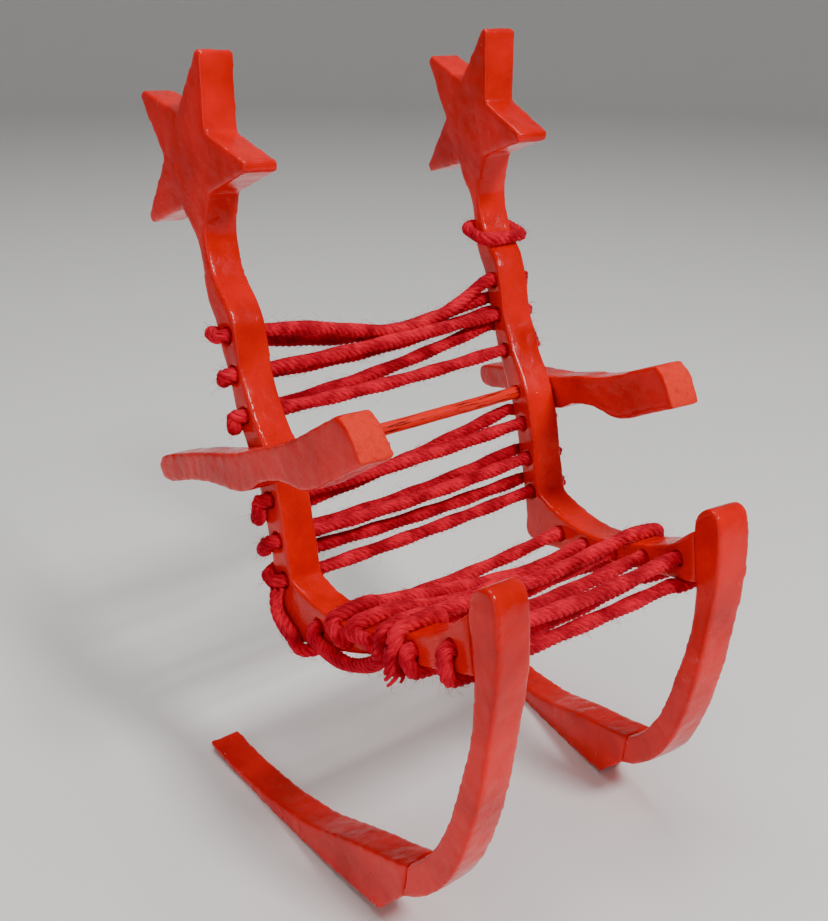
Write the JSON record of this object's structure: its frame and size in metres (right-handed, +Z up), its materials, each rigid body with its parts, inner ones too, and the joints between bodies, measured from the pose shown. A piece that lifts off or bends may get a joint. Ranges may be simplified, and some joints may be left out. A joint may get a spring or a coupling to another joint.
{
  "type": "miniature rocking chair",
  "caption": "Miniature doll-size rocking chair with star-topped side frames, laced yarn seat and back, and armrests that pivot on a dowel.",
  "frame": {"origin": "on the floor under the middle of the chair's bounding box", "axes": "+X to the chair's right-hand frame seen from the front, +Y to the back, +Z up"},
  "size_m": [0.0832, 0.1014, 0.1387],
  "materials": {
    "board_paint": "thick glossy red enamel over sawn wood, with runs, lumps and pinholes",
    "dowel_paint": "glossy red enamel, cracked lengthwise over a bamboo dowel",
    "yarn": "plied crimson wool yarn with a fuzzy halo"
  },
  "bodies": {
    "chair": {"left_back_post": "board_paint", "right_back_post": "board_paint", "left_front_leg": "board_paint", "right_front_leg": "board_paint", "left_rocker": "board_paint", "right_rocker": "board_paint", "armrest_dowel": "dowel_paint", "back_yarn_1": "yarn", "back_yarn_2": "yarn", "back_yarn_3": "yarn", "back_yarn_4": "yarn", "back_yarn_5": "yarn", "back_yarn_6": "yarn", "seat_yarn_1": "yarn", "seat_yarn_2": "yarn", "seat_yarn_3": "yarn", "seat_yarn_4": "yarn", "seat_yarn_5": "yarn", "link_yarn": "yarn", "rail_knot_yarn": "yarn", "post_tie_yarn": "yarn"},
    "left_arm": {"left_armrest": "board_paint"},
    "right_arm": {"right_armrest": "board_paint"}
  },
  "joints": [
    {"name": "left_armrest_pivot", "type": "hinge", "parent": "chair", "child": "left_arm", "pos_m": [-0.03577, 0.0101, 0.07061], "axis": [0.9993, 0.0365, 0.01], "range_deg": [-8, 8]},
    {"name": "right_armrest_pivot", "type": "hinge", "parent": "chair", "child": "right_arm", "pos_m": [0.03609, 0.01273, 0.07133], "axis": [0.9993, 0.0365, 0.01], "range_deg": [-8, 8]}
  ]
}
